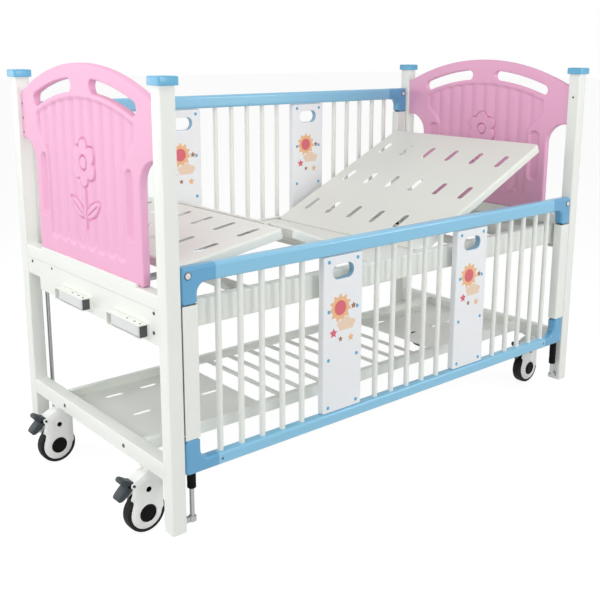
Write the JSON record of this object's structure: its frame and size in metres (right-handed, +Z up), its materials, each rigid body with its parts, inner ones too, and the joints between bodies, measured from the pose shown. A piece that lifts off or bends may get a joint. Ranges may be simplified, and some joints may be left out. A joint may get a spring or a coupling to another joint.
{
  "type": "pediatric hospital cot",
  "caption": "Pediatric hospital cot with sliding barred sides, fluted arched end panels, a crank-raised back and knee deck, a slatted lower shelf and braked swivel casters.",
  "frame": {"origin": "on the floor, under the middle of the cot's bounding box", "axes": "+X from foot to head, +Y to the far side as pictured, +Z up"},
  "size_m": [2.0066, 0.942, 1.34],
  "materials": {
    "white_paint": "satin powder coat",
    "blue_plastic": "smooth moulded",
    "pink_plastic": "smooth blow-moulded",
    "white_plastic": "smooth moulded",
    "black_rubber": "moulded tread",
    "black_plastic": "moulded",
    "grey_plastic": "moulded",
    "steel": "plain drawn"
  },
  "bodies": {
    "frame": {"post_foot_near": "white_paint", "post_foot_far": "white_paint", "post_head_near": "white_paint", "post_head_far": "white_paint", "cap_foot_near": "blue_plastic", "cap_foot_far": "blue_plastic", "cap_head_near": "blue_plastic", "cap_head_far": "blue_plastic", "end_top_rail_foot": "white_paint", "end_top_rail_head": "white_paint", "end_bottom_rail_foot": "white_paint", "end_bottom_rail_head": "white_paint", "end_panel_foot": "pink_plastic", "end_panel_head": "pink_plastic", "foot_apron": "white_paint", "bed_frame": "white_paint", "seat_section": "white_paint", "lower_shelf": "white_paint", "guide_rod_foot_near": "steel", "guide_rod_foot_far": "steel", "guide_rod_head_near": "steel", "guide_rod_head_far": "steel"},
    "near_side": {"side_top_rail_near": "blue_plastic", "side_bottom_rail_near": "blue_plastic", "side_bars_near": "white_paint", "side_panel_near_foot": "white_plastic", "side_panel_near_head": "white_plastic", "bush_near_foot": "black_plastic", "bush_near_head": "black_plastic"},
    "far_side": {"side_top_rail_far": "blue_plastic", "side_bottom_rail_far": "blue_plastic", "side_bars_far": "white_paint", "side_panel_far_foot": "white_plastic", "side_panel_far_head": "white_plastic", "bush_far_foot": "black_plastic", "bush_far_head": "black_plastic"},
    "back": {"back_section": "white_paint"},
    "thigh": {"thigh_section": "white_paint"},
    "calf": {"calf_section": "white_paint"},
    "stay": {"calf_stay": "white_paint"},
    "back_crank": {"back_crank_arm": "white_paint", "back_screw": "steel"},
    "back_grip": {"back_crank_grip": "white_plastic"},
    "back_push": {"back_push_tube": "steel"},
    "knee_crank": {"knee_crank_arm": "white_paint", "knee_screw": "steel"},
    "knee_grip": {"knee_crank_grip": "white_plastic"},
    "knee_push": {"knee_push_tube": "steel"},
    "caster_foot_near": {"caster_shell_foot_near": "white_plastic"},
    "wheel_foot_near": {"caster_wheel_foot_near": "black_rubber"},
    "pedal_foot_near": {"brake_pedal_foot_near": "grey_plastic"},
    "caster_foot_far": {"caster_shell_foot_far": "white_plastic"},
    "wheel_foot_far": {"caster_wheel_foot_far": "black_rubber"},
    "pedal_foot_far": {"brake_pedal_foot_far": "grey_plastic"},
    "caster_head_near": {"caster_shell_head_near": "white_plastic"},
    "wheel_head_near": {"caster_wheel_head_near": "black_rubber"},
    "pedal_head_near": {"brake_pedal_head_near": "grey_plastic"},
    "caster_head_far": {"caster_shell_head_far": "white_plastic"},
    "wheel_head_far": {"caster_wheel_head_far": "black_rubber"},
    "pedal_head_far": {"brake_pedal_head_far": "grey_plastic"}
  },
  "joints": [
    {"name": "near_side_lift", "type": "slide", "parent": "frame", "child": "near_side", "axis": [0, 0, 1], "range_m": [0, 0.392]},
    {"name": "far_side_lift", "type": "slide", "parent": "frame", "child": "far_side", "axis": [0, 0, 1], "range_m": [-0.392, 0]},
    {"name": "back_tilt", "type": "hinge", "parent": "frame", "child": "back", "pos_m": [0.13875, 0, 0.696], "axis": [0, -1, 0], "range_deg": [-25.3, 44.7]},
    {"name": "back_push_slide", "type": "slide", "parent": "frame", "child": "back_push", "axis": [1, 0, 0], "range_m": [-0.0374, 0.066]},
    {"name": "back_crank_turn", "type": "hinge", "parent": "frame", "child": "back_crank", "pos_m": [-0.91725, 0.134, 0.631], "axis": [1, 0, 0], "range_deg": [-1121, 1979]},
    {"name": "back_grip_fold", "type": "hinge", "parent": "back_crank", "child": "back_grip", "pos_m": [-0.9338, -0.0135, 0.631], "axis": [0, 0, 1], "range_deg": [0, 90]},
    {"name": "knee_lift", "type": "hinge", "parent": "frame", "child": "thigh", "pos_m": [-0.07525, 0, 0.696], "axis": [0, 1, 0], "range_deg": [-23.6, 11.4]},
    {"name": "calf_fold", "type": "hinge", "parent": "thigh", "child": "calf", "pos_m": [-0.43446, 0, 0.85294], "axis": [0, 1, 0], "range_deg": [-16, 33]},
    {"name": "stay_swing", "type": "hinge", "parent": "frame", "child": "stay", "pos_m": [-0.56125, 0, 0.656], "axis": [0, 1, 0], "range_deg": [-25.6, 12.5]},
    {"name": "knee_push_slide", "type": "slide", "parent": "frame", "child": "knee_push", "axis": [1, 0, 0], "range_m": [-0.0177, 0.0365]},
    {"name": "knee_crank_turn", "type": "hinge", "parent": "frame", "child": "knee_crank", "pos_m": [-0.91725, -0.201, 0.631], "axis": [1, 0, 0], "range_deg": [-1096, 530]},
    {"name": "knee_grip_fold", "type": "hinge", "parent": "knee_crank", "child": "knee_grip", "pos_m": [-0.9338, -0.3485, 0.631], "axis": [0, 0, 1], "range_deg": [0, 90]},
    {"name": "swivel_foot_near", "type": "hinge", "parent": "frame", "child": "caster_foot_near", "pos_m": [-0.89525, -0.292, 0.19], "axis": [0, 0, 1], "continuous": true},
    {"name": "roll_foot_near", "type": "hinge", "parent": "caster_foot_near", "child": "wheel_foot_near", "pos_m": [-0.91125, -0.292, 0.0625], "axis": [0, 1, 0], "continuous": true},
    {"name": "brake_foot_near", "type": "hinge", "parent": "caster_foot_near", "child": "pedal_foot_near", "pos_m": [-0.95325, -0.292, 0.16], "axis": [0, -1, 0], "range_deg": [0, 18]},
    {"name": "swivel_foot_far", "type": "hinge", "parent": "frame", "child": "caster_foot_far", "pos_m": [-0.89525, 0.292, 0.19], "axis": [0, 0, 1], "continuous": true},
    {"name": "roll_foot_far", "type": "hinge", "parent": "caster_foot_far", "child": "wheel_foot_far", "pos_m": [-0.91125, 0.292, 0.0625], "axis": [0, 1, 0], "continuous": true},
    {"name": "brake_foot_far", "type": "hinge", "parent": "caster_foot_far", "child": "pedal_foot_far", "pos_m": [-0.95325, 0.292, 0.16], "axis": [0, -1, 0], "range_deg": [0, 18]},
    {"name": "swivel_head_near", "type": "hinge", "parent": "frame", "child": "caster_head_near", "pos_m": [0.95675, -0.292, 0.19], "axis": [0, 0, 1], "continuous": true},
    {"name": "roll_head_near", "type": "hinge", "parent": "caster_head_near", "child": "wheel_head_near", "pos_m": [0.94075, -0.292, 0.0625], "axis": [0, 1, 0], "continuous": true},
    {"name": "brake_head_near", "type": "hinge", "parent": "caster_head_near", "child": "pedal_head_near", "pos_m": [0.89875, -0.292, 0.16], "axis": [0, -1, 0], "range_deg": [0, 18]},
    {"name": "swivel_head_far", "type": "hinge", "parent": "frame", "child": "caster_head_far", "pos_m": [0.95675, 0.292, 0.19], "axis": [0, 0, 1], "continuous": true},
    {"name": "roll_head_far", "type": "hinge", "parent": "caster_head_far", "child": "wheel_head_far", "pos_m": [0.94075, 0.292, 0.0625], "axis": [0, 1, 0], "continuous": true},
    {"name": "brake_head_far", "type": "hinge", "parent": "caster_head_far", "child": "pedal_head_far", "pos_m": [0.89875, 0.292, 0.16], "axis": [0, -1, 0], "range_deg": [0, 18]}
  ],
  "couplings": [
    {"joint": "back_push_slide", "follows": "back_tilt", "m_per_rad": 0.084506},
    {"joint": "back_crank_turn", "follows": "back_tilt", "ratio": 44.247},
    {"joint": "calf_fold", "follows": "knee_lift", "ratio": -1.3814},
    {"joint": "stay_swing", "follows": "knee_lift", "ratio": 1.08},
    {"joint": "knee_push_slide", "follows": "knee_lift", "m_per_rad": -0.088607},
    {"joint": "knee_crank_turn", "follows": "knee_lift", "ratio": 46.395}
  ]
}
